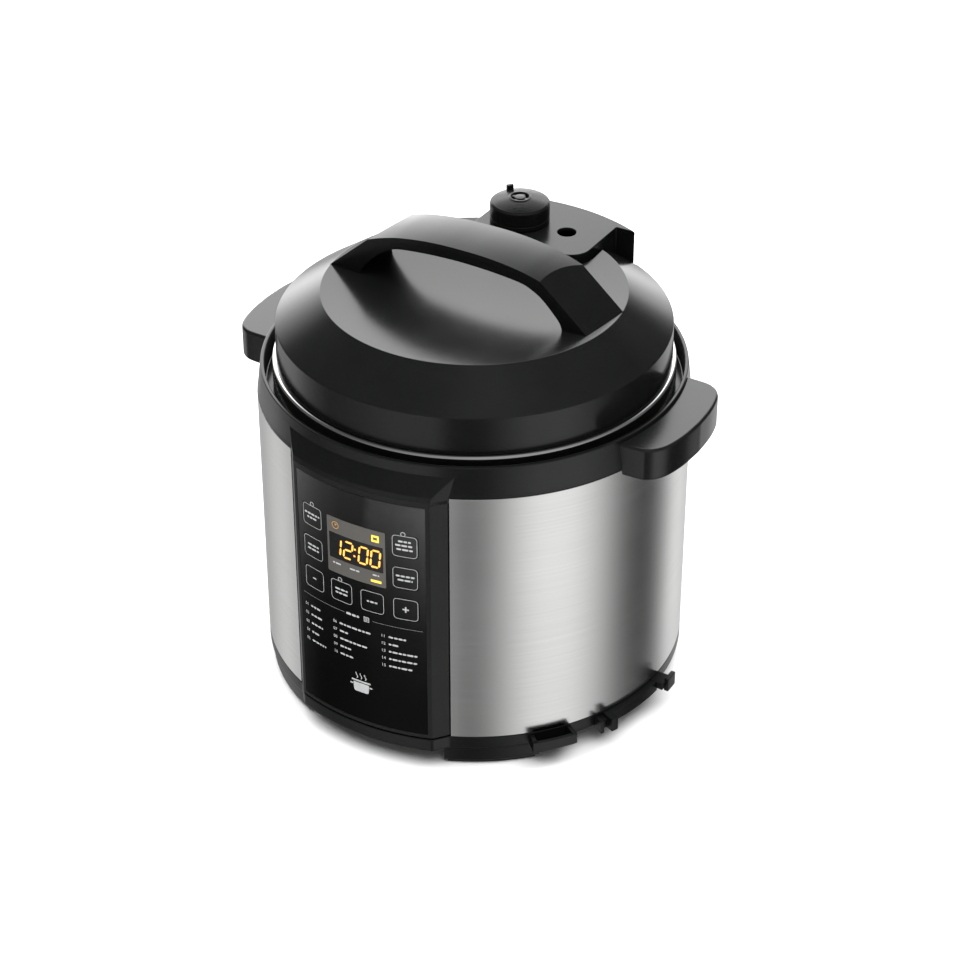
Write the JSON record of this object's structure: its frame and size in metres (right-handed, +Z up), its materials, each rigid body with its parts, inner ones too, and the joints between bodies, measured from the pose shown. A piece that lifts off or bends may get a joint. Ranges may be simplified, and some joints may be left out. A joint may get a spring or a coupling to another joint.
{
  "type": "electric pressure cooker",
  "caption": "Round steel-bodied electric pressure cooker with a bayonet lid, arched lid handle, side handles, control panel with display, valve platform and lift-out inner pot.",
  "frame": {"origin": "centre of the box on the surface that the cooker stands on; the pot axis is 7.1 mm in front of it, at Y = -0.0071", "axes": "+Z up, -Y to the front where the control panel is, +X to the right-hand side handle seen from the front"},
  "size_m": [0.3292, 0.3118, 0.3165],
  "materials": {
    "black_plastic": "satin moulded plastic, near black",
    "gloss_black": "glossy printed overlay",
    "smoked_window": "smoked display window",
    "brushed_steel": "stainless steel brushed round the body",
    "polished_steel": "polished stainless steel",
    "aluminium": "pressed and cast aluminium",
    "non_stick": "dark non-stick coating on aluminium",
    "silicone": "pale silicone",
    "rubber": "soft black rubber",
    "clear_plastic": "translucent plastic",
    "circuit_board": "green laminate with components",
    "brass": "plain brass blades"
  },
  "bodies": {
    "root": {"base_shell": "black_plastic", "bottom_cover": "black_plastic", "upper_collar": "black_plastic", "side_handle_left": "black_plastic", "side_handle_right": "black_plastic", "panel_frame": "black_plastic", "cup_holder": "black_plastic", "inlet_socket": "black_plastic", "pressure_switch": "black_plastic", "panel_overlay": "gloss_black", "display_window": "smoked_window", "display_module": "smoked_window", "outer_sleeve": "brushed_steel", "thermal_fuse": "polished_steel", "sensor_spring": "polished_steel", "base_screw_1": "polished_steel", "base_screw_2": "polished_steel", "base_screw_3": "polished_steel", "outer_pot": "aluminium", "heating_plate": "aluminium", "foot_pad_1": "rubber", "foot_pad_2": "rubber", "foot_pad_3": "rubber", "foot_pad_4": "rubber", "control_board": "circuit_board", "power_board": "circuit_board", "inlet_pin_live": "brass", "inlet_pin_neutral": "brass", "inlet_pin_earth": "brass"},
    "pot": {"inner_pot": "non_stick"},
    "seal": {"sealing_ring": "silicone"},
    "lid": {"lid_shell": "polished_steel", "gasket_rack": "polished_steel", "lid_cover": "black_plastic", "lid_handle": "black_plastic", "valve_housing": "black_plastic", "vent_pipe": "polished_steel", "vent_nut": "polished_steel", "anti_block_shield": "polished_steel", "float_gasket": "silicone"},
    "weight": {"valve_weight": "polished_steel"},
    "knob": {"pressure_knob": "black_plastic"},
    "float": {"float_valve": "polished_steel"},
    "sensor": {"temperature_sensor": "aluminium"},
    "cup": {"condensate_cup": "clear_plastic"},
    "key_delay": {"key_delay": "gloss_black"},
    "key_pressure": {"key_pressure": "gloss_black"},
    "key_minus": {"key_minus": "gloss_black"},
    "key_manual": {"key_manual": "gloss_black"},
    "key_menu": {"key_menu": "gloss_black"},
    "key_warm": {"key_warm": "gloss_black"},
    "key_time": {"key_time": "gloss_black"},
    "key_plus": {"key_plus": "gloss_black"}
  },
  "joints": [
    {"name": "pot_lift", "type": "slide", "parent": "root", "child": "pot", "axis": [0, 0, 1], "range_m": [0, 0.185]},
    {"name": "lid_lift", "type": "slide", "parent": "pot", "child": "seal", "axis": [0, 0, 1], "range_m": [0, 0.25]},
    {"name": "lid_turn", "type": "hinge", "parent": "seal", "child": "lid", "pos_m": [0, -0.0071, 0.23], "axis": [0, 0, 1], "range_deg": [-22.5, 0]},
    {"name": "valve_lift", "type": "slide", "parent": "lid", "child": "weight", "axis": [0, 0, 1], "range_m": [0, 0.03]},
    {"name": "valve_turn", "type": "hinge", "parent": "weight", "child": "knob", "pos_m": [-0.018, 0.0839, 0.2835], "axis": [0, 0, 1], "range_deg": [0, 45]},
    {"name": "float_rise", "type": "slide", "parent": "lid", "child": "float", "axis": [0, 0, 1], "range_m": [0, 0.006]},
    {"name": "sensor_press", "type": "slide", "parent": "root", "child": "sensor", "axis": [0, 0, -1], "range_m": [0, 0.003], "stiffness_N_per_m": 500, "springref_m": -0.002, "deforming": ["sensor_spring"]},
    {"name": "cup_pull", "type": "slide", "parent": "root", "child": "cup", "axis": [0, 1, 0], "range_m": [0, 0.06]},
    {"name": "key_delay_press", "type": "slide", "parent": "root", "child": "key_delay", "axis": [0.23, 0.9732, 0], "range_m": [0, 0.0006], "stiffness_N_per_m": 1500, "springref_m": -0.0003},
    {"name": "key_pressure_press", "type": "slide", "parent": "root", "child": "key_pressure", "axis": [0.23, 0.9732, 0], "range_m": [0, 0.0006], "stiffness_N_per_m": 1500, "springref_m": -0.0003},
    {"name": "key_minus_press", "type": "slide", "parent": "root", "child": "key_minus", "axis": [0.23, 0.9732, 0], "range_m": [0, 0.0006], "stiffness_N_per_m": 1500, "springref_m": -0.0003},
    {"name": "key_manual_press", "type": "slide", "parent": "root", "child": "key_manual", "axis": [0.0767, 0.9971, 0], "range_m": [0, 0.0006], "stiffness_N_per_m": 1500, "springref_m": -0.0003},
    {"name": "key_menu_press", "type": "slide", "parent": "root", "child": "key_menu", "axis": [-0.0767, 0.9971, 0], "range_m": [0, 0.0006], "stiffness_N_per_m": 1500, "springref_m": -0.0003},
    {"name": "key_warm_press", "type": "slide", "parent": "root", "child": "key_warm", "axis": [-0.23, 0.9732, 0], "range_m": [0, 0.0006], "stiffness_N_per_m": 1500, "springref_m": -0.0003},
    {"name": "key_time_press", "type": "slide", "parent": "root", "child": "key_time", "axis": [-0.23, 0.9732, 0], "range_m": [0, 0.0006], "stiffness_N_per_m": 1500, "springref_m": -0.0003},
    {"name": "key_plus_press", "type": "slide", "parent": "root", "child": "key_plus", "axis": [-0.23, 0.9732, 0], "range_m": [0, 0.0006], "stiffness_N_per_m": 1500, "springref_m": -0.0003}
  ]
}
